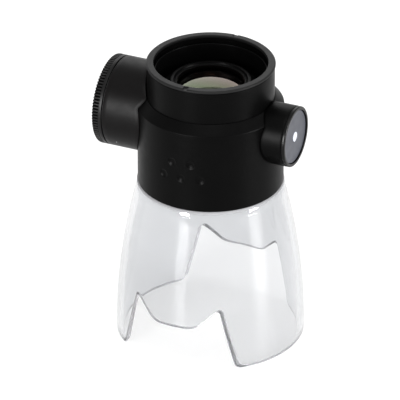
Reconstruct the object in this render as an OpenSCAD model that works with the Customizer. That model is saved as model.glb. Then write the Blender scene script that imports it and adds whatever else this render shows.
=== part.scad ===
// Focusing stand loupe with a clear skirt, coin-cell lighting and a push switch.
// Millimetres, +Z up. The optical axis is the Z axis and the skirt stands on Z = 0.
// The cross axis runs along X: battery housing toward -X, push switch toward +X.
// The skirt's two openings and the grip dimples face along Y.

/* [Barrel] */
// Overall height, from the skirt's feet to the eyepiece rim
total_h = 83.6; // [80:0.2:90]
// Outer radius of the main barrel
barrel_r = 20.4; // [20:0.1:21]
// Height of the main barrel's lower edge
barrel_bottom = 47.3; // [46:0.1:48]
// Height where the shoulder cone starts
shoulder_z = 70.8; // [70:0.1:71.4]
// Height of the cone
shoulder_h = 2.6; // [2:0.1:2.8]
// Height of the cross axis
cross_z = 65.6; // [65:0.1:66]

/* [Eyepiece] */
// Outer radius of the eyepiece barrel
eyepiece_r = 17.75; // [17.6:0.05:17.9]
// Inner radius of the eyepiece barrel
eyepiece_bore_r = 16.1; // [16.05:0.01:16.2]
// Height of the bezel ring at the rim
bezel_h = 1.0; // [0.6:0.1:1.4]

/* [Optics] */
// Radius of the lens elements
lens_r = 10.15; // [10:0.05:10.2]
// Visible radius inside the lens ring
clear_r = 9.4; // [9:0.1:9.5]
// Rise of the eye lens at its middle
eye_lens_rise = 1.6; // [1:0.1:2]
// Focus travel to each side of rest
focus_travel = 1.5; // [0.5:0.1:1.5]

/* [Skirt] */
// Outer radius of the skirt at its feet
skirt_foot_r = 26.6; // [26:0.1:28]
// Radius of the curved side of the skirt
skirt_curve_r = 180; // [170:1:200]
// Wall thickness
skirt_wall = 1.8; // [1.4:0.1:2]
// Height of the two notches in each opening
notch_z = 18.0; // [16:0.1:20]
// Half of the distance between the two notches
notch_x = 12.5; // [11:0.1:13]
// Height of the lower edge of the tongue between the notches
tongue_z = 12.5; // [11:0.1:14]
// Half of the opening's width at the feet
opening_x = 16.75; // [16:0.05:18]

/* [Battery side] */
// Outer radius of the battery housing
battery_r = 12.75; // [12.5:0.05:13]
// Distance from the optical axis to the cap's joint line
cap_joint_x = 27.8; // [27.6:0.1:28.4]
// Distance from the optical axis to the end of the cap
cap_end_x = 30.7; // [30.2:0.1:31]
// Radius of a coin cell
cell_r = 10.0; // [9.9:0.05:10]
// Thickness of a coin cell
cell_t = 3.2; // [3:0.1:3.2]
// Number of grooves in the cap's knurled band
knurl_count = 88; // [40:2:96]

/* [Switch side] */
// Outer radius of the switch housing
switch_r = 8.6; // [8.2:0.1:9]
// Distance from the optical axis to the switch's end face
switch_end_x = 25.8; // [25.4:0.1:27]
// Radius of the push button
button_r = 7.6; // [7:0.05:7.8]

/* [Hidden] */

$fn = 96;
eps = 0.02;        // overshoot of a cutting solid
fit = 0.05;        // radial clearance of a running fit
gap = 0.2;         // clearance between pieces that do not touch
seam = 0.08;       // dark line where a cross housing meets the barrel

// Barrel, guide tube and board levels
barrel_top = shoulder_z + shoulder_h;
shoulder_top_r = eyepiece_r + gap;
bore_r = eyepiece_r + fit;
chamber_r = 19.0;      // bore of the main barrel below the eyepiece
chamber_top = 64;
flange_z = 60;         // lower face of the guide tube's flange
flange_t = 1.9;
guide_top = 74;
guide_r = 15.95;
guide_bore_r = 14.2;
board_t = 1.2;
board_z = flange_z - board_t;
board_bore_r = 11.6;
led_count = 6;
led_ring_r = 15;
led_h = 1.9;
screw_count = 3;
screw_r = 0.8;
screw_head_r = 1.5;
screw_head_h = 0.9;

// Rim details
slot_w = 1.3;          // spanner slots in the bezel
slot_depth = 0.35;
rim_chamfer = 0.35;    // chamfer around the rim
bezel_bore_r = 15.9;   // bore of the bezel ring
step_r = 15.3;         // bore below the inner step
step_z = total_h - 2.4;

// Cross tubes
spigot_in_x = 19.05;   // how near the axis the spigots reach
battery_spigot_r = 6.6;
switch_spigot_r = 4.6;
cavity_floor_x = 20.6; // floor of the battery cavity
cavity_r = 11.15;
plate_t = 0.3;
sleeve_r = 11.1;
cell_x = cavity_floor_x + plate_t;
lead_r = 0.4;
lead_z = 58.2;
lead_in_x = 16.5;
lead_hole_r = 0.48;

// Cap
cap_plug_r = 11.1;
cap_plug_in = 0.45;
knurl_r = 0.26;        // radius of a groove's round bottom
knurl_plain = 0.9;     // plain band beside the joint line
cap_round = 0.4;       // bevel at the cap's end
joint_gap = 0.3;       // visible gap between housing and cap
contact_r = 9.0;
dome_t = 0.25;

// Switch
button_t = 1.6;
button_set_in = 0.35;  // how far the button's face sits below the rim
button_travel = 0.8;
stem_r = 1.2;
switch_board_x = 20.6;

// Optics
seat_z = 66.5;         // seat of the field lens
field_t = 2.0;
spacer_t = 5.0;
eye_t = 2.9;
cell_bottom = 64.5;
cell_top = 75.6;
cell_outer_r = 14.1;
lens_ring_top = 78.1;
lens_ring_r = 11.2;
lens_ring_seat = 74.0;
lip_z = 77.55;         // inner lip of the lens ring
eye_z = seat_z + field_t + spacer_t;
ring_z = eye_z + eye_t;
pin_r = 0.8;
pin_z = 69;
pin_in = 12.4;
pin_out = 16.6;
slot_half_h = focus_travel + pin_r + 0.2;

// Skirt
skirt_top = 46.6;      // where the curved side meets the seal
neck_r = chamber_r - fit;
neck_bore_r = 17.0;
neck_top = 53;
foot_round = 2.2;      // rounding of the legs' corners
notch_round = 0.7;
tongue_flat = 3.6;     // half of the tongue's level edge
tongue_round = 6;
web_t = 1.2;           // web between the curved wall and the neck

// Body colours
black_satin = "#232323";
black_gloss = "#1a1a1a";
dark_grey = "#3a3a3c";

// ---- Helpers ----

// Points of an arc about c from angle a0 to a1
function arc(c, r, a0, a1, n) =
    [for (i = [0:n]) let (a = a0 + (a1 - a0) * i / n) c + r * [cos(a), sin(a)]];

module ring(r_out, r_in, z0, z1) {
    translate([0, 0, z0]) rotate_extrude() translate([r_in, 0]) square([r_out - r_in, z1 - z0]);
}

module disc(r, z0, z1) {
    translate([0, 0, z0]) cylinder(r = r, h = z1 - z0);
}

// Puts a shape drawn along +Z onto the cross axis, pointing toward -X or +X
module toward_battery() {
    translate([0, 0, cross_z]) rotate([0, -90, 0]) children();
}
module toward_switch() {
    translate([0, 0, cross_z]) rotate([0, 90, 0]) children();
}

// Spherical cap of base radius r and height h, standing on Z = 0
module cap_of_sphere(r, h) {
    ball = (r * r + h * h) / (2 * h);
    rotate_extrude() intersection() {
        translate([0, h - ball]) circle(r = ball, $fn = 256);
        square([r, h]);
    }
}

// Solid that the cross housings are cut back with, so that they sit on the barrel
module saddle_cut() {
    disc(barrel_r + seam, 40, shoulder_z);
    translate([0, 0, shoulder_z]) cylinder(r1 = barrel_r + seam, r2 = shoulder_top_r + seam, h = shoulder_h);
    disc(eyepiece_r + gap, shoulder_z, 90);
}

// ---- Skirt ----

// Outline of one opening, seen along Y: up one leg, over the notch, under the tongue and back
module opening_outline() {
    tongue_c = [tongue_flat, tongue_z + tongue_round];
    to_notch = [notch_x, notch_z] - tongue_c;
    tongue_a = atan2(to_notch[1], to_notch[0]) - acos(tongue_round / norm(to_notch));
    lean = atan2(opening_x - notch_x, notch_z);
    notch_half = (90 - lean + tongue_a + 90) / 2;
    notch_dir = lean - 90 - notch_half;
    notch_c = [notch_x, notch_z] + notch_round / sin(notch_half) * [cos(notch_dir), sin(notch_dir)];
    foot_c = [opening_x + foot_round * (1 - sin(lean)) / cos(lean), foot_round];
    side = concat(
        arc(tongue_c, tongue_round, -90, tongue_a, 6),
        arc(notch_c, notch_round, tongue_a + 180, lean, 6),
        arc(foot_c, foot_round, 180 + lean, 270, 6),
        [[foot_c[0], -1]]);
    polygon(concat(side, [for (i = [len(side) - 1:-1:0]) [-side[i][0], side[i][1]]]));
}

// Cross-section of the skirt: a wall bent to a large arc, a web at its top and the neck above it
module skirt_section() {
    intersection() {
        difference() {
            translate([skirt_foot_r - skirt_curve_r, 0]) circle(r = skirt_curve_r, $fn = 720);
            translate([skirt_foot_r - skirt_curve_r, 0]) circle(r = skirt_curve_r - skirt_wall, $fn = 720);
        }
        translate([10, 0]) square([40, skirt_top]);
    }
    intersection() {
        translate([skirt_foot_r - skirt_curve_r, 0]) circle(r = skirt_curve_r, $fn = 720);
        translate([neck_bore_r, skirt_top - web_t]) square([10, web_t]);
    }
    translate([neck_bore_r, skirt_top - web_t]) square([neck_r - neck_bore_r, neck_top - skirt_top + web_t]);
}

module skirt() {
    color("#dfe6e9", 0.4) difference() {
        rotate_extrude($fn = 128) skirt_section();
        translate([0, 40, 0]) rotate([90, 0, 0]) linear_extrude(80) opening_outline();
    }
}

module skirt_seal() {
    color("#8a8c90") ring(barrel_r + 0.25, neck_r + 0.02, skirt_top + 0.02, barrel_bottom - fit);
}

// ---- Barrel ----

// Five shallow round dimples on the front of the barrel, in two staggered rows
module grip_dimples() {
    step = 15.6;
    depth = 0.4;
    ball = 2.2;
    for (a = [-step, 0, step]) dimple(a, cross_z - 8.5, depth, ball);
    for (a = [-step / 2, step / 2]) dimple(a, cross_z - 4, depth, ball);
}
module dimple(a, z, depth, ball) {
    rotate([0, 0, a]) translate([0, -barrel_r - ball + depth, z]) sphere(r = ball, $fn = 48);
}

module main_barrel() {
    color(black_satin) difference() {
        union() {
            disc(barrel_r, barrel_bottom, shoulder_z);
            translate([0, 0, shoulder_z]) cylinder(r1 = barrel_r, r2 = shoulder_top_r, h = shoulder_h);
        }
        disc(bore_r, chamber_top - eps, barrel_top + eps);
        disc(chamber_r, barrel_bottom - eps, chamber_top);
        toward_battery() disc(battery_spigot_r + fit, chamber_r - 4, barrel_r + 1);
        toward_switch() disc(switch_spigot_r + fit, chamber_r - 4, barrel_r + 1);
        lead_holes();
        grip_dimples();
    }
}

// Small holes that the two leads pass through
module lead_holes() {
    translate([0, 0, lead_z]) rotate([0, 90, 0]) translate([0, 0, -cavity_floor_x - 0.5])
        cylinder(r = lead_hole_r, h = 2 * cavity_floor_x + 1, $fn = 24);
}

module guide_tube() {
    color(black_gloss) difference() {
        union() {
            ring(guide_r, guide_bore_r, flange_z, guide_top);
            ring(chamber_r - fit, guide_bore_r, flange_z, flange_z + flange_t);
        }
        for (i = [0:2]) rotate([0, 0, 30 + 120 * i])
            translate([guide_bore_r - 1, -pin_r - fit, pin_z - slot_half_h])
                cube([guide_r - guide_bore_r + 2, 2 * (pin_r + fit), 2 * slot_half_h]);
        for (i = [0:screw_count - 1]) rotate([0, 0, 90 + 120 * i])
            translate([17.3, 0, flange_z - eps]) cylinder(r = screw_r, h = flange_t + 2 * eps, $fn = 32);
    }
}

module light_baffle() {
    color(black_gloss) union() {
        ring(11.3, 10.5, 50.2, flange_z);
        ring(13.4, 10.5, flange_z, flange_z + 1);
    }
}

module diffuser_ring() {
    color("#e8eef0", 0.8) ring(neck_bore_r - 0.1, 11.4, 50.2, 51.4);
}

module led_board() {
    color("#e9ebe6") difference() {
        ring(chamber_r - gap, board_bore_r, board_z, flange_z);
        for (i = [0:screw_count - 1]) rotate([0, 0, 90 + 120 * i])
            translate([17.3, 0, board_z - eps]) cylinder(r = screw_r + 0.1, h = board_t + 2 * eps, $fn = 32);
    }
}

module board_screw(i) {
    color("silver") rotate([0, 0, 90 + 120 * i]) translate([17.3, 0, 0]) difference() {
        union() {
            translate([0, 0, board_z - screw_head_h]) cylinder(r = screw_head_r, h = screw_head_h, $fn = 32);
            translate([0, 0, board_z - eps]) cylinder(r = screw_r - 0.03, h = board_t + flange_t, $fn = 32);
        }
        for (a = [0, 90]) rotate([0, 0, a])
            translate([-0.9, -0.18, board_z - screw_head_h - eps]) cube([1.8, 0.36, 0.45]);
    }
}
module board_screw_1() { board_screw(0); }
module board_screw_2() { board_screw(1); }
module board_screw_3() { board_screw(2); }

module led(i) {
    color("#f4efc8") rotate([0, 0, 60 * i]) translate([led_ring_r - 0.8, 0, board_z]) union() {
        translate([-1.4, -1.4, -0.8]) cube([2.8, 2.8, 0.8]);
        translate([0, 0, -0.8]) mirror([0, 0, 1]) cap_of_sphere(1.2, led_h - 0.8);
    }
}
module led_1() { led(0); }
module led_2() { led(1); }
module led_3() { led(2); }
module led_4() { led(3); }
module led_5() { led(4); }
module led_6() { led(5); }

// ---- Battery side ----

module battery_housing() {
    color(black_satin) difference() {
        union() {
            difference() {
                toward_battery() disc(battery_r, 8, cap_joint_x - joint_gap);
                saddle_cut();
            }
            toward_battery() disc(battery_spigot_r, spigot_in_x, barrel_r + 0.2);
        }
        toward_battery() disc(cavity_r, cavity_floor_x, cap_joint_x + 1);
        toward_battery() disc(battery_spigot_r - 1.4, spigot_in_x - 1, cavity_floor_x + eps);
        lead_holes();
    }
}

module contact_plate() {
    color("gold") toward_battery() disc(battery_spigot_r + 2, cavity_floor_x, cavity_floor_x + plate_t);
}

module cell_sleeve() {
    color("#d8d8d0") toward_battery() ring(sleeve_r, cell_r + 0.1, cavity_floor_x + plate_t, cap_joint_x - 0.9);
}

module coin_cell(i) {
    x0 = cell_x + i * cell_t;
    color("silver") toward_battery() union() {
        disc(cell_r, x0 + 0.5, x0 + cell_t - 0.01);
        disc(cell_r - 1.3, x0 + 0.01, x0 + 0.5);
    }
}
module coin_cell_1() { coin_cell(0); }
module coin_cell_2() { coin_cell(1); }

// Straight lead through the barrel wall, from the cross housing to a solder joint under the board
module lead(x_out) {
    translate([lead_in_x, 0, lead_z]) rotate([0, 90, 0]) cylinder(r = lead_r, h = x_out - lead_in_x, $fn = 24);
    translate([lead_in_x, 0, lead_z]) sphere(r = lead_r + 0.15, $fn = 24);
}
module battery_wire() {
    color("#b02020") mirror([1, 0, 0]) lead(cavity_floor_x - 0.02);
}
module switch_wire() {
    color("#202020") lead(switch_board_x - 0.02);
}

// ---- Battery cap ----

module battery_cap() {
    color(black_satin) difference() {
        toward_battery() rotate_extrude() polygon([
            [0, cap_joint_x - cap_plug_in],
            [cap_plug_r, cap_joint_x - cap_plug_in],
            [cap_plug_r, cap_joint_x],
            [battery_r, cap_joint_x],
            [battery_r, cap_end_x - cap_round],
            [battery_r - cap_round, cap_end_x],
            [0, cap_end_x]]);
        toward_battery() disc(contact_r + gap, cap_joint_x - cap_plug_in - eps, cap_joint_x + 0.6);
        knurl_grooves();
    }
}

// Small round-bottomed grooves around the cap, open toward its end
module knurl_grooves() {
    toward_battery() for (i = [0:knurl_count - 1]) rotate([0, 0, 360 * i / knurl_count])
        translate([battery_r + 0.3 * knurl_r, 0, cap_joint_x + knurl_plain])
            cylinder(r = knurl_r, h = cap_end_x - cap_joint_x, $fn = 16);
}

module cap_o_ring() {
    color("#303030") toward_battery() ring(battery_r - 0.5, cap_plug_r + fit, cap_joint_x - joint_gap + 0.02, cap_joint_x - 0.02);
}

module cap_contact() {
    color("gold") toward_battery() disc(contact_r, cap_joint_x + 0.1, cap_joint_x + 0.5);
}

module contact_dome() {
    color("gold") toward_battery() translate([0, 0, cap_joint_x + 0.1]) mirror([0, 0, 1])
        cylinder(r1 = 5, r2 = 3, h = dome_t);
}

// ---- Switch side ----

module switch_housing() {
    color(black_satin) difference() {
        union() {
            difference() {
                toward_switch() disc(switch_r, 8, switch_end_x - 1);
                saddle_cut();
            }
            toward_switch() disc(switch_spigot_r, spigot_in_x, barrel_r + 0.2);
        }
        toward_switch() disc(button_r + fit, switch_board_x, switch_end_x + 1);
        toward_switch() disc(switch_spigot_r - 1.4, spigot_in_x - 1, switch_board_x + eps);
        lead_holes();
    }
}

module switch_bezel() {
    color(black_gloss) toward_switch() rotate_extrude() polygon([
        [button_r + fit, switch_end_x - 1],
        [switch_r, switch_end_x - 1],
        [switch_r, switch_end_x - 0.3],
        [switch_r - 0.3, switch_end_x],
        [button_r + fit + 0.15, switch_end_x],
        [button_r + fit, switch_end_x - 0.15]]);
}

module switch_board() {
    color("#2f6b3c") toward_switch() disc(button_r - gap, switch_board_x, switch_board_x + 0.8);
}

module tact_switch() {
    color("silver") toward_switch() translate([-1.7, -1.7, switch_board_x + 0.8]) cube([3.4, 3.4, 0.9]);
}

module push_button() {
    face = switch_end_x - button_set_in;
    color("#6b6c72") toward_switch() rotate_extrude() polygon([
        [0, face - button_t],
        [button_r, face - button_t],
        [button_r, face - 0.25],
        [button_r - 0.25, face],
        [0, face]]);
}

module button_stem() {
    face = switch_end_x - button_set_in;
    color(dark_grey) toward_switch() disc(stem_r, switch_board_x + 1.7 + button_travel + 0.05, face - button_t);
}

module indicator_dot() {
    face = switch_end_x - button_set_in;
    color("#c9ccd6") toward_switch() translate([0, 0, face]) cap_of_sphere(1.4, 0.3);
}

// ---- Eyepiece ----

module eyepiece_barrel() {
    color(black_satin) difference() {
        ring(eyepiece_r, eyepiece_bore_r, chamber_top - 0.1, total_h - bezel_h);
        ring(eyepiece_bore_r + 0.8, eyepiece_bore_r - 1, pin_z - slot_half_h - 0.5, pin_z + slot_half_h + 0.5);
    }
}

module eyepiece_bezel() {
    top = total_h;
    color("#4a4a4a") difference() {
        rotate_extrude() polygon([
            [bezel_bore_r, top - bezel_h],
            [eyepiece_r - 0.15, top - bezel_h],
            [eyepiece_r - 0.15, top - bezel_h + 0.2],
            [eyepiece_r + 0.2, top - bezel_h + 0.3],
            [eyepiece_r + 0.2, top - rim_chamfer],
            [eyepiece_r + 0.2 - rim_chamfer, top],
            [bezel_bore_r + 0.15, top],
            [bezel_bore_r, top - 0.15]]);
        for (side = [-1, 1]) translate([-slot_w / 2, side * (eyepiece_r - 0.6) - 1, top - slot_depth])
            cube([slot_w, 2, 1]);
    }
}

module step_sleeve() {
    color(dark_grey) rotate_extrude() polygon([
        [step_r, guide_top + 0.3],
        [eyepiece_bore_r, guide_top + 0.3],
        [eyepiece_bore_r, step_z],
        [step_r + 0.12, step_z],
        [step_r, step_z - 0.12]]);
}

module snap_ring() {
    color(dark_grey) ring(18.75, eyepiece_bore_r, chamber_top - 1.7, chamber_top - 0.15);
}

// ---- Lens cell ----

module lens_cell() {
    color(black_gloss) difference() {
        disc(cell_outer_r, cell_bottom, cell_top);
        disc(clear_r - 0.4, cell_bottom - eps, seat_z + eps);
        disc(lens_r + fit, seat_z, cell_top);
        disc(lens_ring_r + fit, lens_ring_seat, cell_top + eps);
        for (i = [0:2]) rotate([0, 0, 30 + 120 * i]) translate([pin_in, 0, pin_z]) rotate([0, 90, 0])
            cylinder(r = pin_r, h = 4, $fn = 32);
    }
}

module lens_ring() {
    color(black_gloss) rotate_extrude() polygon([
        [lens_r + fit, lens_ring_seat],
        [lens_ring_r, lens_ring_seat],
        [lens_ring_r, lens_ring_top - 0.15],
        [lens_ring_r - 0.15, lens_ring_top],
        [clear_r + 0.9, lens_ring_top],
        [clear_r + 0.8, lip_z - 0.3],
        [clear_r + 0.4, lip_z - 0.3],
        [clear_r + 0.35, lip_z],
        [clear_r, lip_z],
        [clear_r, ring_z],
        [lens_r + fit, ring_z]]);
}

module eye_lens() {
    color("#8f8d74", 0.7) union() {
        disc(lens_r, eye_z, ring_z);
        translate([0, 0, ring_z - eps]) cap_of_sphere(clear_r - 0.05, eye_lens_rise);
    }
}

module lens_spacer() {
    color(black_gloss) ring(lens_r, lens_r - 1.3, seat_z + field_t, eye_z);
}

module field_lens() {
    color("#8f8d74", 0.7) union() {
        disc(lens_r, seat_z, seat_z + field_t);
        translate([0, 0, seat_z + eps]) mirror([0, 0, 1]) cap_of_sphere(clear_r - 0.6, 1.5);
    }
}

module guide_pin(i) {
    color("silver") rotate([0, 0, 30 + 120 * i]) translate([pin_in, 0, pin_z]) rotate([0, 90, 0])
        cylinder(r = pin_r - 0.02, h = pin_out - pin_in, $fn = 32);
}
module guide_pin_1() { guide_pin(0); }
module guide_pin_2() { guide_pin(1); }
module guide_pin_3() { guide_pin(2); }

skirt();
skirt_seal();
main_barrel();
guide_tube();
light_baffle();
diffuser_ring();
led_board();
board_screw_1();
board_screw_2();
board_screw_3();
led_1();
led_2();
led_3();
led_4();
led_5();
led_6();
battery_housing();
contact_plate();
cell_sleeve();
coin_cell_1();
coin_cell_2();
battery_wire();
switch_housing();
switch_bezel();
switch_board();
tact_switch();
switch_wire();
battery_cap();
cap_o_ring();
cap_contact();
contact_dome();
push_button();
button_stem();
indicator_dot();
eyepiece_barrel();
eyepiece_bezel();
step_sleeve();
snap_ring();
lens_cell();
lens_ring();
eye_lens();
lens_spacer();
field_lens();
guide_pin_1();
guide_pin_2();
guide_pin_3();
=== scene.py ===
import math

import bmesh
import bpy
from mathutils import Matrix, Vector


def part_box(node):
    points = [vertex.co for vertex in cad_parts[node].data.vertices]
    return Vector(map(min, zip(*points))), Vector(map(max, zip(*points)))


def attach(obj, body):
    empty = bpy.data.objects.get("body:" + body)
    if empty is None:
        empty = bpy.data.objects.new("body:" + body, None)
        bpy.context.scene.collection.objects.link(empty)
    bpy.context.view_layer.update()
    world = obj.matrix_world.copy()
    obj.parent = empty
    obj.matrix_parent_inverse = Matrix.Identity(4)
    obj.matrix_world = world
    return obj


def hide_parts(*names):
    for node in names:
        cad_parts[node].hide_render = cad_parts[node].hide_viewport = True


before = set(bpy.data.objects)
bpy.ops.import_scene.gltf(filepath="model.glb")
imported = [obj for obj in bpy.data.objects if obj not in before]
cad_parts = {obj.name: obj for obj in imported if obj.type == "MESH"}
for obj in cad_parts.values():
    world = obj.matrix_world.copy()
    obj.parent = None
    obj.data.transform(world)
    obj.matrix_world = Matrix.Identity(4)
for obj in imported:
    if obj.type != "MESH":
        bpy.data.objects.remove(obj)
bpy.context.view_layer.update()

MM = 0.001
TAU = 2 * math.pi

# ---------------------------------------------------------------- sizes, in millimetres


def span(node):
    """Lowest and highest corner of a CAD node, in millimetres."""
    low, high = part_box(node)
    return low / MM, high / MM


barrel_low, barrel_high = span("main_barrel")
housing_low, _ = span("battery_housing")
cap_low, cap_high = span("battery_cap")
_, switch_high = span("switch_housing")
tip_low, tip_high = span("switch_bezel")
button_low, button_high = span("push_button")
dot_low, dot_high = span("indicator_dot")
eyepiece_low, eyepiece_high = span("eyepiece_barrel")
bezel_low, bezel_high = span("eyepiece_bezel")
sleeve_low, sleeve_high = span("step_sleeve")
cell_low, cell_high = span("lens_cell")
ring_low, ring_high = span("lens_ring")
eye_low, eye_high = span("eye_lens")
field_low, field_high = span("field_lens")
seal_low, seal_high = span("skirt_seal")
_, skirt_high = span("skirt")

BARREL_R = barrel_high.x
BARREL_TOP = barrel_high.z
SHOULDER_Z = BARREL_TOP - 2.6
SHOULDER_TOP_R = eyepiece_high.x + 0.2
CHAMBER_R = 19.0
CHAMBER_TOP = 64.0
CROSS_Z = (cap_low.z + cap_high.z) / 2
BATTERY_R = cap_high.y
SWITCH_R = tip_high.y
EYEPIECE_R = eyepiece_high.x
BORE_R = 16.1
CAM_GROOVE_R, CAM_GROOVE_LOW, CAM_GROOVE_HIGH = 16.9, 66.2, 71.8
BATTERY_BORE_R, SWITCH_BORE_R = 11.15, 7.55
CAP_PLUG_R, CAP_PLUG_IN = 11.1, 0.45
CAP_HOLLOW_R, CAP_HOLLOW_IN = 9.2, 0.6
BEZEL_BORE_R = 15.9
STEP_R = 15.3
CLEAR_R = 9.4
CELL_BORE_R = 9.0
EYE_LENS_EDGE, FIELD_LENS_EDGE = 1.15, 2.0

SKIRT_FOOT_R = skirt_high.x
SKIRT_CURVE_R = 180.0
SKIRT_WALL = 1.8
SKIRT_TOP = 46.6
WEB_T = 1.2
NECK_R = 18.95
NECK_BORE_R = 17.0
NECK_TOP = 53.0
NOTCH_X, NOTCH_Z, NOTCH_ROUND = 12.5, 18.0, 0.7
TONGUE_Z, TONGUE_FLAT, TONGUE_ROUND = 12.5, 3.6, 6.0
OPENING_X, FOOT_ROUND = 16.75, 2.2
SKIRT_EDGE = 0.28

TOWARD_BATTERY = Matrix.Translation((0, 0, CROSS_Z)) @ Matrix.Rotation(-math.pi / 2, 4, "Y")
TOWARD_SWITCH = Matrix.Translation((0, 0, CROSS_Z)) @ Matrix.Rotation(math.pi / 2, 4, "Y")

# ---------------------------------------------------------------- materials


def material(name, sockets):
    """A Principled material with these socket values."""
    mat = bpy.data.materials.new(name)
    mat.use_nodes = True
    shader = mat.node_tree.nodes["Principled BSDF"]
    for key, value in sockets.items():
        shader.inputs[key].default_value = value
    return mat


def add_node(mat, kind, **values):
    node = mat.node_tree.nodes.new(kind)
    for key, value in values.items():
        setattr(node, key, value)
    return node


def noise(mat, scale, detail=3.0, stretch=(1, 1, 1)):
    """Noise over object coordinates, in metres; returns its factor socket."""
    links = mat.node_tree.links
    coords = add_node(mat, "ShaderNodeTexCoord")
    mapping = add_node(mat, "ShaderNodeMapping")
    mapping.inputs["Scale"].default_value = stretch
    texture = add_node(mat, "ShaderNodeTexNoise")
    texture.inputs["Scale"].default_value = scale
    texture.inputs["Detail"].default_value = detail
    links.new(coords.outputs["Object"], mapping.inputs["Vector"])
    links.new(mapping.outputs["Vector"], texture.inputs["Vector"])
    return texture.outputs["Fac"]


def spread(mat, factor, low, high, socket):
    """Maps a noise factor to a range and feeds it to a shader socket."""
    node = add_node(mat, "ShaderNodeMapRange")
    node.inputs["From Min"].default_value = 0.3
    node.inputs["From Max"].default_value = 0.7
    node.inputs["To Min"].default_value = low
    node.inputs["To Max"].default_value = high
    mat.node_tree.links.new(factor, node.inputs["Value"])
    mat.node_tree.links.new(node.outputs["Result"], mat.node_tree.nodes["Principled BSDF"].inputs[socket])


def tint(mat, factor, dark, light):
    """Varies the base colour between two colours."""
    node = add_node(mat, "ShaderNodeMix", data_type="RGBA")
    for socket, value in zip([s for s in node.inputs if s.type == "RGBA"], (dark, light)):
        socket.default_value = (*value, 1)
    mat.node_tree.links.new(factor, node.inputs["Factor"])
    out = [s for s in node.outputs if s.type == "RGBA"][0]
    mat.node_tree.links.new(out, mat.node_tree.nodes["Principled BSDF"].inputs["Base Color"])


def bump(mat, height, strength, distance_mm):
    node = add_node(mat, "ShaderNodeBump")
    node.inputs["Strength"].default_value = strength
    node.inputs["Distance"].default_value = distance_mm * MM
    mat.node_tree.links.new(height, node.inputs["Height"])
    mat.node_tree.links.new(node.outputs["Normal"], mat.node_tree.nodes["Principled BSDF"].inputs["Normal"])


def moulded(name, dark, light, rough, grain_scale=2600, grain=0.25, specular=0.5, stretch=(1, 1, 1)):
    """Moulded or coated surface: fine grain, slight mottling and uneven gloss."""
    mat = material(name, {"Specular IOR Level": specular})
    tint(mat, noise(mat, 140, 4), dark, light)
    spread(mat, noise(mat, 420, 5, stretch), rough[0], rough[1], "Roughness")
    bump(mat, noise(mat, grain_scale, 2, stretch), grain, 0.03)
    return mat


def grey(value):
    return (value, value, value)


BODY_BLACK = moulded("body_black", grey(0.0004), grey(0.0009), (0.33, 0.40), specular=0.045)
HOUSING_BLACK = moulded("housing_black", (0.0014, 0.0011, 0.0011), (0.0021, 0.0018, 0.0018), (0.34, 0.42),
                        specular=0.09)
CAP_BLACK = moulded("cap_black", (0.0030, 0.0028, 0.0028), (0.0045, 0.0042, 0.0042), (0.32, 0.40),
                    specular=0.14)
# Painted shade for the faces down in the cap's knurl grooves: darker and duller than the cap itself.
GROOVE_PAINTED_SHADE = moulded("groove_painted_shade", grey(0.0008), grey(0.0012), (0.6, 0.7), specular=0.02)
INNER_BLACK = moulded("inner_black", grey(0.0008), grey(0.0014), (0.5, 0.65), specular=0.04)
RIM_GREY = moulded("rim_grey", grey(0.006), grey(0.010), (0.38, 0.46), grain_scale=1800, specular=0.10)
STEP_GREY = moulded("step_grey", grey(0.0008), grey(0.0014), (0.3, 0.4), specular=0.05)
TIP_BLACK = moulded("tip_black", grey(0.002), grey(0.003), (0.2, 0.28), grain=0.1, specular=0.12)
BUTTON_GREY = moulded("button_grey", (0.014, 0.016, 0.024), (0.022, 0.024, 0.034), (0.34, 0.44), grain=0.3)
DOT_WHITE = moulded("dot_white", (0.38, 0.40, 0.45), (0.46, 0.48, 0.53), (0.18, 0.26), grain=0.05)
SEAL_GREY = moulded("seal_metal", (0.20, 0.20, 0.21), (0.30, 0.30, 0.31), (0.22, 0.32), stretch=(1, 1, 12))
BOARD_WHITE = moulded("board_white", (0.66, 0.68, 0.64), (0.74, 0.75, 0.71), (0.4, 0.5))
BOARD_GREEN = moulded("board_green", (0.02, 0.13, 0.05), (0.03, 0.18, 0.07), (0.3, 0.4))
LED_YELLOW = moulded("led_phosphor", (0.80, 0.68, 0.28), (0.88, 0.80, 0.40), (0.15, 0.25), grain=0.05)
DIFFUSER = moulded("diffuser_white", (0.78, 0.80, 0.81), (0.84, 0.86, 0.87), (0.3, 0.4))
RUBBER = moulded("rubber_black", grey(0.010), grey(0.016), (0.6, 0.75))
SLEEVE = moulded("sleeve_plastic", (0.50, 0.50, 0.46), (0.58, 0.58, 0.54), (0.4, 0.5))
LEAD_RED = moulded("lead_red", (0.30, 0.015, 0.015), (0.38, 0.03, 0.03), (0.3, 0.4))
LEAD_BLACK = moulded("lead_black", grey(0.012), grey(0.02), (0.3, 0.4))


def metal(name, dark, light, rough, stretch=(1, 1, 1)):
    mat = moulded(name, dark, light, rough, grain_scale=1600, grain=0.15, stretch=stretch)
    mat.node_tree.nodes["Principled BSDF"].inputs["Metallic"].default_value = 1.0
    return mat


STEEL = metal("steel", (0.55, 0.55, 0.56), (0.66, 0.66, 0.67), (0.22, 0.34), (1, 1, 8))
BRASS = metal("contact_brass", (0.70, 0.52, 0.20), (0.80, 0.62, 0.28), (0.22, 0.34))


def clear_plastic(name, colour, rough_low, rough_high, wave, clarity=1.0):
    """Clear moulded acrylic, a little hazy from fine wear, with a slight moulding waviness."""
    mat = material(name, {"Base Color": (*colour, 1), "Transmission Weight": clarity, "IOR": 1.49,
                          "Specular IOR Level": 0.14})
    spread(mat, noise(mat, 90, 3), rough_low, rough_high, "Roughness")
    bump(mat, noise(mat, 60, 2), wave, 0.05)
    return mat


ACRYLIC = clear_plastic("clear_acrylic", (0.755, 0.762, 0.775), 0.0, 0.02, 0.004)
ACRYLIC_EDGE = clear_plastic("acrylic_edge", (0.62, 0.62, 0.64), 0.12, 0.22, 0.1, clarity=0.6)


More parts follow.
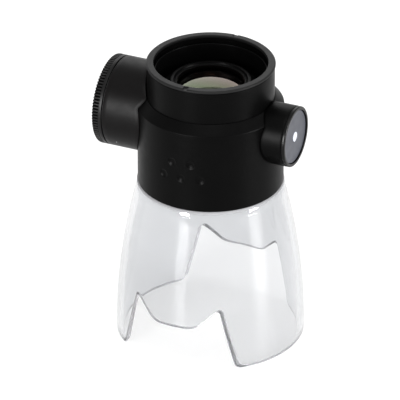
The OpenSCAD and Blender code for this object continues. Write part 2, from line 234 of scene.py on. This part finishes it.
def glass_with_painted_tint(name, near=-4, far=3):
    """Lens glass with a painted reflection tint: reflections go from green at the near edge to rose at the
    far one, set by place across the lens, in place of the coating's colour shift with angle.
    """
    mat = material(name, {"Base Color": (0.035, 0.032, 0.030, 1), "Transmission Weight": 1.0, "IOR": 1.62})
    spread(mat, noise(mat, 200, 3), 0.0, 0.03, "Roughness")
    coords = add_node(mat, "ShaderNodeTexCoord")
    split = add_node(mat, "ShaderNodeSeparateXYZ")
    place = add_node(mat, "ShaderNodeMapRange")
    ramp = add_node(mat, "ShaderNodeValToRGB")
    place.inputs["From Min"].default_value = near * MM
    place.inputs["From Max"].default_value = far * MM
    # Painted reflection colour: green on the camera's side of the lens, rose on the far side.
    ramp.color_ramp.elements[0].color = (0.80, 1.0, 0.48, 1)
    ramp.color_ramp.elements[1].color = (1.0, 0.58, 0.46, 1)
    links = mat.node_tree.links
    links.new(coords.outputs["Object"], split.inputs["Vector"])
    links.new(split.outputs["Y"], place.inputs["Value"])
    links.new(place.outputs["Result"], ramp.inputs["Fac"])
    links.new(ramp.outputs["Color"], mat.node_tree.nodes["Principled BSDF"].inputs["Specular Tint"])
    return mat


LENS_GLASS = glass_with_painted_tint("lens_glass")

# ---------------------------------------------------------------- mesh helpers


def new_object(name, verts, faces, mat, matrix=None):
    """A smooth-shaded object from points in millimetres; matrix places it in the frame."""
    matrix = matrix or Matrix.Identity(4)
    mesh = bpy.data.meshes.new(name)
    mesh.from_pydata([(matrix @ Vector(v)) * MM for v in verts], [], faces)
    made = bmesh.new()
    made.from_mesh(mesh)
    bmesh.ops.remove_doubles(made, verts=made.verts, dist=1e-7)
    bmesh.ops.recalc_face_normals(made, faces=made.faces)
    made.to_mesh(mesh)
    made.free()
    for face in mesh.polygons:
        face.use_smooth = True
    mesh.materials.append(mat)
    obj = bpy.data.objects.new(name, mesh)
    bpy.context.scene.collection.objects.link(obj)
    return obj


def weigh_normals(obj):
    """Keeps broad faces flat beside their small bevels."""
    modifier = obj.modifiers.new("normals", "WEIGHTED_NORMAL")
    modifier.weight = 100
    modifier.keep_sharp = True


def finish_piece(obj, body, slot, *nodes):
    """Rides a piece on a body and hides the CAD nodes that it stands for. The finish (slot) is not used."""
    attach(obj, body)
    if nodes:
        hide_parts(*nodes)
    return obj


def rounded(points, closed=True):
    """Rounds a profile's corners. A point is (r, z) or (r, z, corner radius)."""
    out = []
    count = len(points)
    for i, point in enumerate(points):
        here = Vector(point[:2])
        radius = point[2] if len(point) > 2 else 0.0
        if radius <= 0 or (not closed and i in (0, count - 1)):
            out.append(tuple(here))
            continue
        before = (Vector(points[i - 1][:2]) - here).normalized()
        after = (Vector(points[(i + 1) % count][:2]) - here).normalized()
        half = before.angle(after) / 2
        start = here + before * (radius / math.tan(half))
        end = here + after * (radius / math.tan(half))
        centre = here + (before + after).normalized() * (radius / math.sin(half))
        first = math.atan2(start.y - centre.y, start.x - centre.x)
        turn = math.atan2(end.y - centre.y, end.x - centre.x) - first
        turn = (turn + math.pi) % TAU - math.pi
        steps = 5
        out += [(centre.x + radius * math.cos(first + turn * k / steps),
                 centre.y + radius * math.sin(first + turn * k / steps)) for k in range(steps + 1)]
    return out


def divided(points, pitch, closed=True):
    """Splits a profile's long stretches into steps no longer than pitch."""
    out = []
    last = len(points) if closed else len(points) - 1
    for i in range(last):
        a, b = Vector(points[i]), Vector(points[(i + 1) % len(points)])
        steps = max(1, math.ceil((b - a).length / pitch))
        out += [tuple(a.lerp(b, k / steps)) for k in range(steps)]
    if not closed:
        out.append(points[-1])
    return out


def even_angles(count):
    return [TAU * i / count for i in range(count)]


def lathe(name, profile, mat, angles=None, closed=True, matrix=None, warp=None):
    """Turns a profile of (r, z) about the axis. warp(angle, r, z) may move a point."""
    angles = angles or even_angles(256)
    verts = []
    for angle in angles:
        for r, z in profile:
            if warp:
                r, z = warp(angle, r, z)
            verts.append((r * math.cos(angle), r * math.sin(angle), z))
    rows = len(profile)
    faces = []
    for i in range(len(angles)):
        a, b = i * rows, (i + 1) % len(angles) * rows
        for k in range(rows if closed else rows - 1):
            n = (k + 1) % rows
            faces.append((a + k, b + k, b + n, a + n))
    obj = new_object(name, verts, faces, mat, matrix)
    weigh_normals(obj)
    return obj


def dome(base_r, rise, z, steps=24):
    """Points from the rim to the middle of a spherical cap standing on height z."""
    ball = (base_r**2 + rise**2) / (2 * rise)
    top = math.asin(base_r / ball)
    sign = 1 if rise > 0 else -1
    return [(abs(ball) * math.sin(abs(top) * (1 - k / steps)),
             z + sign * (abs(ball) * math.cos(top * (1 - k / steps)) - abs(ball) + abs(rise)))
            for k in range(steps + 1)]


def cut(obj, cutter):
    """Takes the cutter's shape out of a piece, for good."""
    modifier = obj.modifiers.new("cut", "BOOLEAN")
    modifier.object = cutter
    modifier.operation = "DIFFERENCE"
    modifier.solver = "EXACT"
    bpy.context.view_layer.update()
    evaluated = obj.evaluated_get(bpy.context.evaluated_depsgraph_get())
    mesh = bpy.data.meshes.new_from_object(evaluated)
    obj.modifiers.clear()
    obj.data = mesh
    bpy.data.objects.remove(cutter)


# ---------------------------------------------------------------- barrel

DIMPLE_R, DIMPLE_DEPTH, DIMPLE_STEP = 1.26, 0.40, math.radians(15.6)
FRONT = 1.5 * math.pi
DIMPLES = [(FRONT + k * DIMPLE_STEP, CROSS_Z - 8.5) for k in (-1, 0, 1)]
DIMPLES += [(FRONT + k * DIMPLE_STEP / 2, CROSS_Z - 4.0) for k in (-1, 1)]


def dimple_depth(angle, z):
    """Depth of the nearest dimple, with a softly rounded edge."""
    ball = (DIMPLE_R**2 + DIMPLE_DEPTH**2) / (2 * DIMPLE_DEPTH)
    best = 0.0
    for middle, height in DIMPLES:
        away = math.hypot((angle - middle) * BARREL_R, z - height)
        if away < DIMPLE_R + 0.3:
            bowl = math.sqrt(ball**2 - min(away, ball) ** 2) - (ball - DIMPLE_DEPTH)
            soft = 0.5 * (bowl + math.sqrt(bowl**2 + 0.03**2))
            best = max(best, soft)
    return best


def barrel_piece():
    outside = rounded([
        (CHAMBER_R, barrel_low.z, 0.15), (CHAMBER_R, CHAMBER_TOP), (EYEPIECE_R + 0.05, CHAMBER_TOP, 0.1),
        (EYEPIECE_R + 0.05, BARREL_TOP, 0.06), (SHOULDER_TOP_R, BARREL_TOP, 0.06),
        (BARREL_R, SHOULDER_Z, 0.25), (BARREL_R, barrel_low.z, 0.2)])
    profile = divided(outside, 0.9)
    low, high = CROSS_Z - 11.0, CROSS_Z - 1.5
    fine = []
    for i, (r, z) in enumerate(profile):
        r2, z2 = profile[(i + 1) % len(profile)]
        fine.append((r, z))
        if r > BARREL_R - 0.01 and r2 > BARREL_R - 0.01 and low < (z + z2) / 2 < high:
            fine += [(r, z + (z2 - z) * k / 6) for k in range(1, 6)]
    half = math.radians(23)
    front = [FRONT - half + 2 * half * k / 150 for k in range(151)]
    rest = [FRONT + half + (TAU - 2 * half) * k / 200 for k in range(1, 200)]

    def warp(angle, r, z):
        if r < BARREL_R - 0.01 or not low < z < high:
            return r, z
        return r - dimple_depth(angle, z), z

    return lathe("visual_main_barrel", fine, BODY_BLACK, front + rest, warp=warp)


finish_piece(barrel_piece(), "barrel", "black_body", "main_barrel")


def barrel_radius(z):
    """Radius of whatever the cross housings meet at this height."""
    if z < SHOULDER_Z:
        return BARREL_R
    if z < BARREL_TOP:
        part = (z - SHOULDER_Z) / (BARREL_TOP - SHOULDER_Z)
        return BARREL_R + (SHOULDER_TOP_R - BARREL_R) * part
    return EYEPIECE_R + 0.2


def saddled(name, mat, matrix, radius, bore, end, count=360):
    """A cross housing: a tube whose inner end sits on the barrel and whose outer end is square."""
    edge = 0.14
    rows = [("seam", radius - edge, 0.04), ("seam", radius - 0.3 * edge, 0.10), ("seam", radius, 0.22)]
    rows += [("part", radius, k / 8) for k in range(1, 8)]
    rows += [("end", radius, edge), ("end", radius - 0.3 * edge, 0.3 * edge), ("end", radius - edge, 0.0)]
    rows += [("end", bore, 0.0), ("part", bore, 0.5), ("seam", bore, 0.04)]
    verts = []
    for i in range(count):
        angle = TAU * i / count
        for kind, r, value in rows:
            side, up = r * math.cos(angle), r * math.sin(angle)
            meet = math.sqrt(barrel_radius(CROSS_Z + up) ** 2 - side**2)
            place = {"seam": meet + value, "end": end - value, "part": meet + (end - meet) * value}[kind]
            verts.append((-up if matrix is TOWARD_SWITCH else up, side, place))
    faces = []
    for i in range(count):
        a, b = i * len(rows), (i + 1) % count * len(rows)
        for k in range(len(rows)):
            n = (k + 1) % len(rows)
            faces.append((a + k, b + k, b + n, a + n))
    obj = new_object(name, verts, faces, mat, matrix)
    weigh_normals(obj)
    return obj


# ---------------------------------------------------------------- battery side

battery_housing = saddled("visual_battery_housing", HOUSING_BLACK, TOWARD_BATTERY, BATTERY_R,
                          BATTERY_BORE_R, -housing_low.x)
finish_piece(battery_housing, "barrel", "black_body", "battery_housing")

KNURL_COUNT, KNURL_DEPTH, KNURL_HALF = 88, 0.42, 0.27
CAP_JOINT = -cap_high.x + CAP_PLUG_IN
CAP_END = -cap_low.x
KNURL_START = CAP_JOINT + 0.9


def knurl_warp(angle, r, z):
    """Presses round-bottomed grooves into the cap's band, fading out at the plain band."""
    if r < BATTERY_R - 0.5 or z < KNURL_START:
        return r, z
    pitch = TAU / KNURL_COUNT
    away = abs((angle / pitch + 0.5) % 1 - 0.5) * pitch * BATTERY_R / KNURL_HALF
    if away >= 1:
        return r, z
    fade = min(1.0, (z - KNURL_START) / 0.18)
    return r - KNURL_DEPTH * fade * math.sqrt(1 - away**2), z


def cap_piece():
    profile = rounded([
        (0, CAP_JOINT + CAP_HOLLOW_IN), (CAP_HOLLOW_R, CAP_JOINT + CAP_HOLLOW_IN),
        (CAP_HOLLOW_R, CAP_JOINT - CAP_PLUG_IN, 0.1), (CAP_PLUG_R, CAP_JOINT - CAP_PLUG_IN, 0.12),
        (CAP_PLUG_R, CAP_JOINT), (BATTERY_R, CAP_JOINT, 0.12), (BATTERY_R, CAP_END, 0.42),
        (BATTERY_R - 1.5, CAP_END, 0.1), (BATTERY_R - 1.75, CAP_END - 0.2, 0.1),
        (0, CAP_END - 0.2)], closed=False)
    profile = divided(profile, 0.6, closed=False)
    at = next(i for i, (r, z) in enumerate(profile) if r > BATTERY_R - 0.01 and z > KNURL_START)
    profile[at:at] = [(BATTERY_R, KNURL_START + step) for step in (0.0, 0.06, 0.12)]
    profile = [p for i, p in enumerate(profile) if i == 0 or p != profile[i - 1]]
    side = sorted((p for p in profile if abs(p[0] - BATTERY_R) < 1e-6), key=lambda p: p[1])
    first = next(i for i, p in enumerate(profile) if abs(p[0] - BATTERY_R) < 1e-6)
    profile[first:first + len(side)] = side
    obj = lathe("visual_battery_cap", profile, CAP_BLACK, even_angles(KNURL_COUNT * 12), closed=False,
                matrix=TOWARD_BATTERY, warp=knurl_warp)
    # Faces deep in the knurl's grooves take the darker second material: painted shade in the grooves.
    obj.data.materials.append(GROOVE_PAINTED_SHADE)
    shade_top_r = BATTERY_R - 0.3 * KNURL_DEPTH
    for face in obj.data.polygons:
        middle = Vector(face.center) / MM
        radius = math.hypot(middle.y, middle.z - CROSS_Z)
        if BATTERY_R - KNURL_DEPTH - 0.02 < radius < shade_top_r and -middle.x > KNURL_START + 0.05:
            face.material_index = 1
    return obj


finish_piece(cap_piece(), "cap_unit", "black_cap", "battery_cap")

# ---------------------------------------------------------------- switch side

switch_housing = saddled("visual_switch_housing", BODY_BLACK, TOWARD_SWITCH, SWITCH_R,
                         SWITCH_BORE_R, switch_high.x)
finish_piece(switch_housing, "barrel", "black_body", "switch_housing")

BUTTON_R = button_high.y
DOT_R = 1.4


def tip_piece():
    end = tip_high.x
    profile = rounded([
        (BUTTON_R + 0.05, tip_low.x), (SWITCH_R - 0.12, tip_low.x, 0.05), (SWITCH_R - 0.12, tip_low.x + 0.15),
        (SWITCH_R, tip_low.x + 0.2, 0.05), (SWITCH_R, end, 0.32), (BUTTON_R + 0.05, end, 0.16)])
    return lathe("visual_switch_bezel", profile, TIP_BLACK, matrix=TOWARD_SWITCH)


def button_piece():
    back, face = button_low.x, button_high.x
    profile = rounded([
        (0, back), (BUTTON_R, back, 0.1), (BUTTON_R, face, 0.28), (BUTTON_R - 0.75, face, 0.3),
        (BUTTON_R - 1.0, face - 0.08, 0.3), (0, face - 0.08)], closed=False)
    return lathe("visual_push_button", divided(profile, 0.7, closed=False), BUTTON_GREY, closed=False,
                 matrix=TOWARD_SWITCH)


def dot_piece():
    back = dot_low.x - 0.12
    profile = [(0, back), (DOT_R, back)] + dome(DOT_R, dot_high.x - dot_low.x, dot_low.x, 10)
    return lathe("visual_indicator_dot", profile, DOT_WHITE, even_angles(64), closed=False,
                 matrix=TOWARD_SWITCH)


finish_piece(tip_piece(), "barrel", "black_gloss", "switch_bezel")
finish_piece(button_piece(), "button_unit", "button_grey", "push_button")
finish_piece(dot_piece(), "button_unit", "dot_white", "indicator_dot")

# ---------------------------------------------------------------- eyepiece


def eyepiece_piece():
    low, high = eyepiece_low.z, eyepiece_high.z
    profile = rounded([
        (BORE_R, low, 0.1), (EYEPIECE_R, low, 0.15), (EYEPIECE_R, high, 0.1), (BORE_R, high, 0.1),
        (BORE_R, CAM_GROOVE_HIGH),
        (CAM_GROOVE_R, CAM_GROOVE_HIGH), (CAM_GROOVE_R, CAM_GROOVE_LOW), (BORE_R, CAM_GROOVE_LOW)])
    return lathe("visual_eyepiece_barrel", divided(profile, 2.0), BODY_BLACK)


def bezel_piece():
    low, high, out = bezel_low.z, bezel_high.z, bezel_high.x
    profile = rounded([
        (BEZEL_BORE_R, low), (EYEPIECE_R - 0.15, low), (EYEPIECE_R - 0.15, low + 0.2, 0.04),
        (out, low + 0.3, 0.08), (out, high - 0.35, 0.14), (out - 0.35, high, 0.1),
        (BEZEL_BORE_R, high, 0.14)])
    obj = lathe("visual_eyepiece_bezel", profile, RIM_GREY)
    for side in (-1, 1):
        cut(obj, box_mesh((1.3, 2.0, 1.0), (0, side * (EYEPIECE_R - 0.5), high + 0.15)))
    for face in obj.data.polygons:
        face.use_smooth = True
    weigh_normals(obj)
    return obj


def box_mesh(size, centre):
    """A loose box used as a cutter."""
    verts = [(centre[0] + sx * size[0] / 2, centre[1] + sy * size[1] / 2, centre[2] + sz * size[2] / 2)
             for sx in (-1, 1) for sy in (-1, 1) for sz in (-1, 1)]
    faces = [(0, 1, 3, 2), (4, 6, 7, 5), (0, 4, 5, 1), (2, 3, 7, 6), (0, 2, 6, 4), (1, 5, 7, 3)]
    return new_object("cutter", verts, faces, RIM_GREY)


def sleeve_piece():
    low, high = sleeve_low.z, sleeve_high.z
    profile = rounded([(STEP_R, low), (BORE_R, low), (BORE_R, high), (STEP_R, high, 0.14)])
    return lathe("visual_step_sleeve", profile, STEP_GREY)


finish_piece(eyepiece_piece(), "eyepiece", "black_body", "eyepiece_barrel")
finish_piece(bezel_piece(), "eyepiece", "rim_grey", "eyepiece_bezel")
finish_piece(sleeve_piece(), "eyepiece", "dark_grey", "step_sleeve")

# ---------------------------------------------------------------- lens unit

LIP_Z = ring_high.z - 0.55
LENS_R = eye_high.x


def lens_ring_piece():
    low, high, out = ring_low.z, ring_high.z, ring_high.x
    profile = rounded([
        (LENS_R + 0.05, low), (out, low), (out, high, 0.16), (CLEAR_R + 0.9, high, 0.1),
        (CLEAR_R + 0.8, LIP_Z - 0.3), (CLEAR_R + 0.42, LIP_Z - 0.3), (CLEAR_R + 0.38, LIP_Z, 0.05),
        (CLEAR_R, LIP_Z, 0.08), (CLEAR_R, LIP_Z - EYE_LENS_EDGE), (LENS_R + 0.05, LIP_Z - EYE_LENS_EDGE)])
    return lathe("visual_lens_ring", profile, STEP_GREY)


def cell_piece():
    """The cell, with fine ridges on its upper face against stray light."""
    low, high, out = cell_low.z, cell_high.z, cell_high.x
    ring_r = ring_high.x + 0.05
    seat = field_high.z - FIELD_LENS_EDGE
    profile = rounded([(CELL_BORE_R, low, 0.2), (out, low, 0.2), (out, high, 0.15)])
    for k in range(5):
        outer = out - 0.5 - k * 0.45
        profile += [(outer, high), (outer - 0.22, high - 0.2)]
    profile += [(ring_r, high), (ring_r, ring_low.z), (LENS_R + 0.05, ring_low.z),
                (LENS_R + 0.05, seat), (CELL_BORE_R, seat)]
    return lathe("visual_lens_cell", profile, INNER_BLACK)


def eye_lens_piece():
    rim = LIP_Z - EYE_LENS_EDGE
    profile = [(0, eye_low.z), (LENS_R, eye_low.z), (LENS_R, rim)]
    profile += dome(CLEAR_R - 0.05, eye_high.z - rim, rim)
    return lathe("visual_eye_lens", profile, LENS_GLASS, even_angles(160), closed=False)


def field_lens_piece():
    top = field_high.z
    seat = top - FIELD_LENS_EDGE
    profile = [(0, top), (LENS_R, top), (LENS_R, seat)]
    profile += [(r, 2 * seat - z) for r, z in dome(CLEAR_R - 0.6, seat - field_low.z, seat)]
    return lathe("visual_field_lens", profile, LENS_GLASS, even_angles(160), closed=False)


finish_piece(lens_ring_piece(), "lens_unit", "black_inner", "lens_ring")
finish_piece(cell_piece(), "lens_unit", "black_inner", "lens_cell")
finish_piece(eye_lens_piece(), "lens_unit", "lens_glass", "eye_lens")
finish_piece(field_lens_piece(), "lens_unit", "lens_glass", "field_lens")

# ---------------------------------------------------------------- skirt


def skirt_radius(z):
    return SKIRT_FOOT_R - SKIRT_CURVE_R + math.sqrt(SKIRT_CURVE_R**2 - z**2)


def skirt_inner(z):
    return SKIRT_FOOT_R - SKIRT_CURVE_R + math.sqrt((SKIRT_CURVE_R - SKIRT_WALL) ** 2 - z**2)


def stretch(a, b, normal, pitch=0.45):
    """Points of a straight stretch of the opening's edge, each with its normal."""
    steps = max(2, math.ceil((Vector(b) - Vector(a)).length / pitch))
    return [(*Vector(a).lerp(Vector(b), k / steps), *normal) for k in range(steps)]


def bend(centre, radius, first, last, inward=False, steps=10):
    """Points of a round stretch; the normal points into the opening."""
    out = []
    for k in range(steps):
        angle = first + (last - first) * k / steps
        c, s = math.cos(angle), math.sin(angle)
        sign = -1 if inward else 1
        out.append((centre[0] + radius * c, centre[1] + radius * s, sign * c, sign * s))
    return out


def opening_edge():
    """Half of an opening's edge, from the tongue's middle to the foot: (x, z, normal x, normal z)."""
    tongue_c = Vector((TONGUE_FLAT, TONGUE_Z + TONGUE_ROUND))
    notch = Vector((NOTCH_X, NOTCH_Z))
    reach = notch - tongue_c
    tongue_a = math.atan2(reach.y, reach.x) - math.acos(TONGUE_ROUND / reach.length)
    lean = math.atan2(OPENING_X - NOTCH_X, NOTCH_Z)
    half = (math.pi - lean + tongue_a) / 2
    toward = lean - math.pi / 2 - half
    notch_c = notch + Vector((math.cos(toward), math.sin(toward))) * (NOTCH_ROUND / math.sin(half))
    foot_c = Vector((OPENING_X + FOOT_ROUND * (1 - math.sin(lean)) / math.cos(lean), FOOT_ROUND))

    def on(centre, radius, angle):
        return centre + radius * Vector((math.cos(angle), math.sin(angle)))

    edge = stretch((0, TONGUE_Z), (TONGUE_FLAT, TONGUE_Z), (0, -1))
    edge += bend(tongue_c, TONGUE_ROUND, -math.pi / 2, tongue_a)
    edge += stretch(on(tongue_c, TONGUE_ROUND, tongue_a), on(notch_c, NOTCH_ROUND, tongue_a + math.pi),
                    (math.cos(tongue_a), math.sin(tongue_a)))
    edge += bend(notch_c, NOTCH_ROUND, tongue_a + math.pi, lean, inward=True)
    edge += stretch(on(notch_c, NOTCH_ROUND, lean), on(foot_c, FOOT_ROUND, lean + math.pi),
                    (-math.cos(lean), -math.sin(lean)))
    edge += bend(foot_c, FOOT_ROUND, lean + math.pi, 1.5 * math.pi)
    edge.append((foot_c.x, 0.0, 0.0, -1.0))
    return edge


def skirt_columns():
    """One entry per column of the skirt's mesh, once round: an opening's edge point or a place on a foot."""
    half = opening_edge()
    foot_x = half[-1][0]
    mirror = [(-x, z, -nx, nz) for x, z, nx, nz in half]
    steps = 90
    columns = [("edge", -1, *p) for p in half]
    columns += [("foot", 1, k / steps, foot_x) for k in range(1, steps)]
    columns += [("edge", 1, *p) for p in reversed(half)]
    columns += [("edge", 1, *p) for p in mirror[1:]]
    columns += [("foot", -1, k / steps, foot_x) for k in range(1, steps)]
    columns += [("edge", -1, *p) for p in reversed(mirror[1:])]
    return columns


def rim_point(column, radius, back, depth):
    """Point near the lower edge: back is how far up the wall, depth how far into its thickness."""
    if column[0] == "edge":
        _, side, x, z, nx, nz = column
        x, z = x - back * nx, z - back * nz
        y = side * math.sqrt(radius(z) ** 2 - x**2)
        return Vector((x, y - side * depth, z))
    _, side, part, foot_x = column
    start = math.asin(foot_x / radius(0))
    angle = start + (math.pi - 2 * start) * part
    r = radius(back) - depth
    x, y = side * r * math.sin(angle), -side * r * math.cos(angle)
    return Vector((x, y, back))


def turn_between(start, end):
    """Signed angle from start to end, the short way round."""
    return (end - start + math.pi) % TAU - math.pi


def skirt_piece():
    """The skirt, column by column: down the outside, round the cut edge, up the inside, over the neck."""
    rows = 34
    arc = [(SKIRT_EDGE * (1 - math.sin(a)), SKIRT_EDGE * (1 - math.cos(a)))
           for a in (math.pi / 2 * k / 4 for k in range(5))]
    neck = rounded([
        (skirt_inner(SKIRT_TOP - WEB_T), SKIRT_TOP - WEB_T, 0.3), (NECK_BORE_R, SKIRT_TOP - WEB_T, 0.25),
        (NECK_BORE_R, NECK_TOP, 0.3), (NECK_R, NECK_TOP, 0.4), (NECK_R, SKIRT_TOP, 0.12),
        (skirt_radius(SKIRT_TOP), SKIRT_TOP, 0.2), (skirt_radius(20), 20)], closed=False)[:-1]
    neck = neck[1:]
    top_out, top_in = SKIRT_TOP - 0.25, SKIRT_TOP - WEB_T - 0.25
    verts = []
    columns = skirt_columns()
    for index, column in enumerate(columns):
        outer_end = rim_point(column, skirt_radius, SKIRT_EDGE, 0)
        inner_end = rim_point(column, skirt_inner, SKIRT_EDGE, 0)
        even = TAU * index / len(columns) - math.pi / 2
        outer_turn = turn_between(even, math.atan2(outer_end.y, outer_end.x))
        inner_turn = turn_between(even, math.atan2(inner_end.y, inner_end.x))
        points = []
        for k in range(rows):
            z = top_out + (outer_end.z - top_out) * k / rows
            r = skirt_radius(z)
            angle = even + outer_turn * k / rows
            points.append((r * math.cos(angle), r * math.sin(angle), z))
        start = len(points)
        points += [rim_point(column, skirt_radius, back, depth) for back, depth in arc]
        points += [rim_point(column, skirt_inner, back, -depth) for back, depth in reversed(arc)]
        wall_rows = (start, len(points) - 1)
        for k in range(1, rows + 1):
            z = inner_end.z + (top_in - inner_end.z) * k / rows
            r = skirt_inner(z)
            angle = even + inner_turn * (1 - k / rows)
            points.append((r * math.cos(angle), r * math.sin(angle), z))
        points += [(r * math.cos(even), r * math.sin(even), z) for r, z in neck]
        verts.append(points)
    height = len(verts[0])
    flat = [p for points in verts for p in points]
    faces = []
    for i in range(len(verts)):
        a, b = i * height, (i + 1) % len(verts) * height
        for k in range(height):
            n = (k + 1) % height
            faces.append((a + k, b + k, b + n, a + n))
    obj = new_object("visual_skirt", flat, faces, ACRYLIC)
    obj.data.materials.append(ACRYLIC_EDGE)
    for face in obj.data.polygons:
        first = face.index % height
        if wall_rows[0] <= first < wall_rows[1]:
            face.material_index = 1
    return obj


finish_piece(skirt_piece(), "skirt_base", "clear_skirt", "skirt")


def seal_piece():
    low, high = seal_low.z, seal_high.z
    mid = (low + high) / 2
    out = seal_high.x
    profile = rounded([
        (NECK_R + 0.02, low), (out, low, 0.1), (out, mid - 0.06, 0.05), (out - 0.18, mid, 0.03),
        (out - 0.05, mid + 0.06, 0.04), (out - 0.05, high - 0.13, 0.04), (out - 0.45, high - 0.1),
        (out - 0.45, high), (NECK_R + 0.02, high)])
    return lathe("visual_skirt_seal", profile, SEAL_GREY)


finish_piece(seal_piece(), "skirt_base", "seal_metal", "skirt_seal")

# ---------------------------------------------------------------- CAD nodes that stay, with better materials

KEPT = {
    "guide_tube": INNER_BLACK, "light_baffle": INNER_BLACK, "lens_spacer": INNER_BLACK,
    "diffuser_ring": DIFFUSER, "led_board": BOARD_WHITE, "switch_board": BOARD_GREEN,
    "snap_ring": STEP_GREY, "button_stem": STEP_GREY, "cell_sleeve": SLEEVE,
    "battery_wire": LEAD_RED, "switch_wire": LEAD_BLACK, "cap_o_ring": RUBBER,
    "contact_plate": BRASS, "cap_contact": BRASS, "contact_dome": BRASS,
    "tact_switch": STEEL, "coin_cell_1": STEEL, "coin_cell_2": STEEL,
}
KEPT.update({f"board_screw_{i}": STEEL for i in (1, 2, 3)})
KEPT.update({f"guide_pin_{i}": STEEL for i in (1, 2, 3)})
KEPT.update({f"led_{i}": LED_YELLOW for i in range(1, 7)})
for node, mat in KEPT.items():
    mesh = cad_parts[node].data
    mesh.materials.clear()
    mesh.materials.append(mat)

# ---------------------------------------------------------------- stage, light and camera

FLOOR_SIZE, FLOOR_DROP = 12.0, 0.0002  # metres
PICTURE = 400       # image units across
VIEW_DISTANCE = 4955  # image units from the camera to the object
UNIT = 0.28 * MM    # one image unit at the object

def plane(name, size, mat):
    mesh = bpy.data.meshes.new(name)
    half = size / 2
    corners = [(-half, -half, 0), (half, -half, 0), (half, half, 0), (-half, half, 0)]
    mesh.from_pydata(corners, [], [(0, 1, 2, 3)])
    mesh.materials.append(mat)
    obj = bpy.data.objects.new(name, mesh)
    bpy.context.scene.collection.objects.link(obj)
    return obj


# A pale floor that is lit from below too, like a light table, so that shadows stay faint
FLOOR = material("floor", {"Base Color": (0.26, 0.26, 0.26, 1), "Roughness": 0.4, "Specular IOR Level": 0.1,
                           "Emission Color": (1, 1, 1, 1), "Emission Strength": 0.72})
floor = plane("floor", FLOOR_SIZE, FLOOR)
floor.location.z = -FLOOR_DROP

VIEW_AZIMUTH, VIEW_ELEVATION = math.radians(24.0), math.radians(29.3)
RIGHT = Vector((math.cos(VIEW_AZIMUTH), math.sin(VIEW_AZIMUTH), 0))
BACK = Vector((math.sin(VIEW_AZIMUTH) * math.cos(VIEW_ELEVATION),
               -math.cos(VIEW_AZIMUTH) * math.cos(VIEW_ELEVATION), math.sin(VIEW_ELEVATION)))
UP = BACK.cross(RIGHT)
AIM = Vector((0, 0, 150 * UNIT)) - RIGHT * 10.65 * UNIT - UP * 6.95 * UNIT

camera = bpy.data.objects.new("camera", bpy.data.cameras.new("camera"))
bpy.context.scene.collection.objects.link(camera)
camera.location = AIM + BACK * VIEW_DISTANCE * UNIT
camera.rotation_mode = "QUATERNION"
camera.rotation_quaternion = (-BACK).to_track_quat("-Z", "Y")
camera.data.sensor_width = 36.0
camera.data.lens = camera.data.sensor_width * VIEW_DISTANCE / PICTURE
camera.data.clip_start, camera.data.clip_end = 0.05, 20.0
bpy.context.scene.camera = camera


def softbox(name, azimuth, elevation, distance, width, height, radiance):
    """An area light that faces the object; azimuth is measured from the camera's, toward its right."""
    a, e = VIEW_AZIMUTH + math.radians(azimuth), math.radians(elevation)
    toward = Vector((math.sin(a) * math.cos(e), -math.cos(a) * math.cos(e), math.sin(e)))
    data = bpy.data.lights.new(name, "AREA")
    data.shape = "RECTANGLE"
    data.size, data.size_y = width, height
    data.energy = radiance * math.pi * width * height
    obj = bpy.data.objects.new(name, data)
    bpy.context.scene.collection.objects.link(obj)
    obj.location = Vector((0, 0, 0.05)) + toward * distance
    obj.rotation_mode = "QUATERNION"
    obj.rotation_quaternion = (-toward).to_track_quat("-Z", "Y")
    return obj


softbox("top_light", 0, 74, 1.1, 0.66, 0.66, 2.3)
softbox("left_light", -38, 12, 0.9, 0.22, 0.40, 34.0)
softbox("right_light", 66, 12, 0.9, 0.26, 0.40, 38.0)
softbox("back_light", 181, 30, 0.9, 0.56, 0.50, 1.5)

world = bpy.data.worlds.new("world")
world.use_nodes = True
world.node_tree.nodes["Background"].inputs["Color"].default_value = (1, 1, 1, 1)
world.node_tree.nodes["Background"].inputs["Strength"].default_value = 0.85
bpy.context.scene.world = world
bpy.context.scene.view_settings.view_transform = "Standard"
